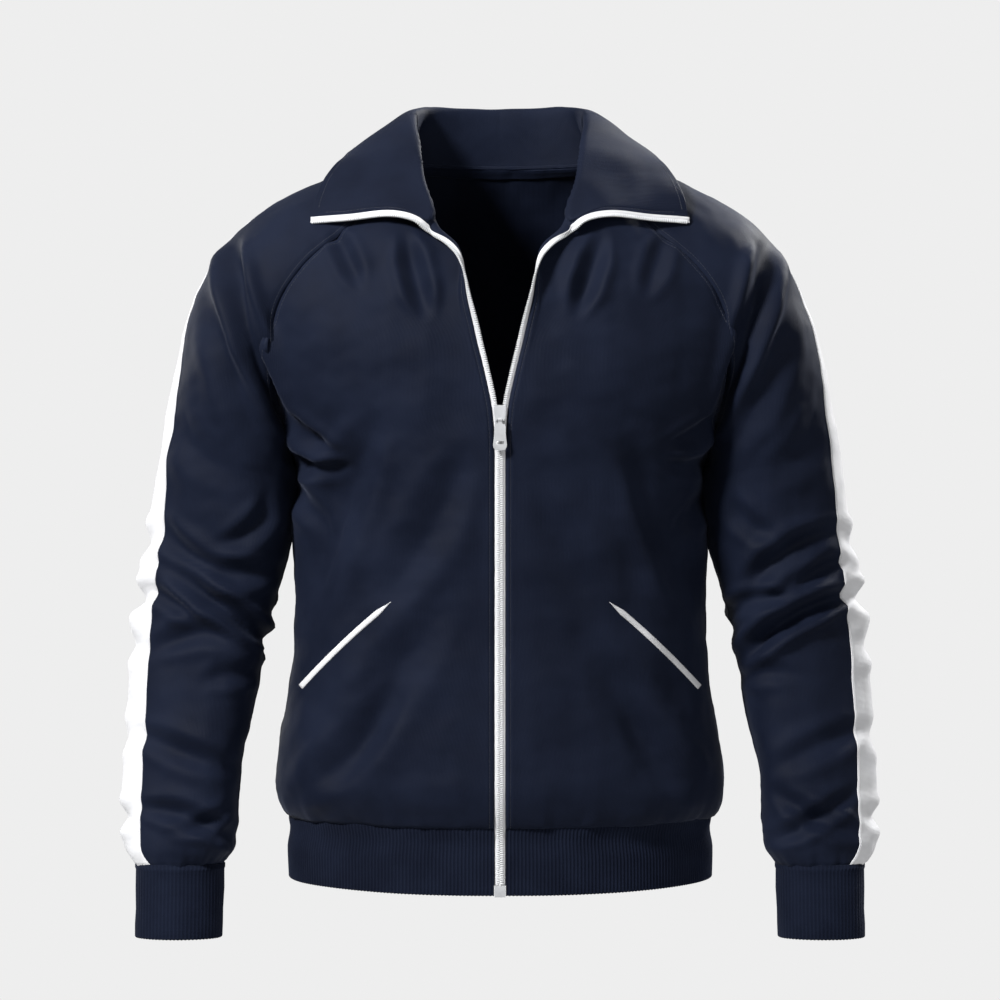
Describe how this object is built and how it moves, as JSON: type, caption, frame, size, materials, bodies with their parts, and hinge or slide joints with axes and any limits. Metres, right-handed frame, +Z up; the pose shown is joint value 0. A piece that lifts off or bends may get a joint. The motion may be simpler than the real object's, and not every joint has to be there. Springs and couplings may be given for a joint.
{
  "type": "track jacket",
  "caption": "Raglan track jacket with a laid-open collar, a front zip with a swinging pull tab, slanted pocket welts, a plain band down each sleeve, and ribbed cuffs and waistband.",
  "frame": {"origin": "on the centre line, midway between the underarm side seams' front and back, at the height of the shoulders beside the collar, where the wearer carries the jacket", "axes": "+Z up along the wearer's back, -Y the way the wearer faces, +X towards the wearer's left"},
  "size_m": [0.6952, 0.2853, 0.7715],
  "materials": {
    "navy_knit": "smooth knit with a soft sheen",
    "navy_rib": "matt rib knit",
    "white_knit": "smooth knit",
    "white_tape": "woven tape",
    "zip_metal": "satin"
  },
  "bodies": {
    "jacket": {"front_left": "navy_knit", "front_right": "navy_knit", "back": "navy_knit", "sleeve_left": "navy_knit", "sleeve_right": "navy_knit", "collar": "navy_knit", "neck_tape": "navy_knit", "waistband": "navy_rib", "cuff_left": "navy_rib", "cuff_right": "navy_rib", "sleeve_band_left": "white_knit", "sleeve_band_right": "white_knit", "zip_tape_left": "white_tape", "zip_tape_right": "white_tape", "pocket_welt_left": "white_tape", "pocket_welt_right": "white_tape", "zip_box": "zip_metal", "zip_slider": "zip_metal"},
    "pull_tab": {"zip_pull": "zip_metal"}
  },
  "joints": [
    {"name": "pull_tab_swing", "type": "hinge", "parent": "jacket", "child": "pull_tab", "pos_m": [0, -0.1492, -0.2335], "axis": [-1, 0, 0], "range_deg": [0, 175]}
  ]
}
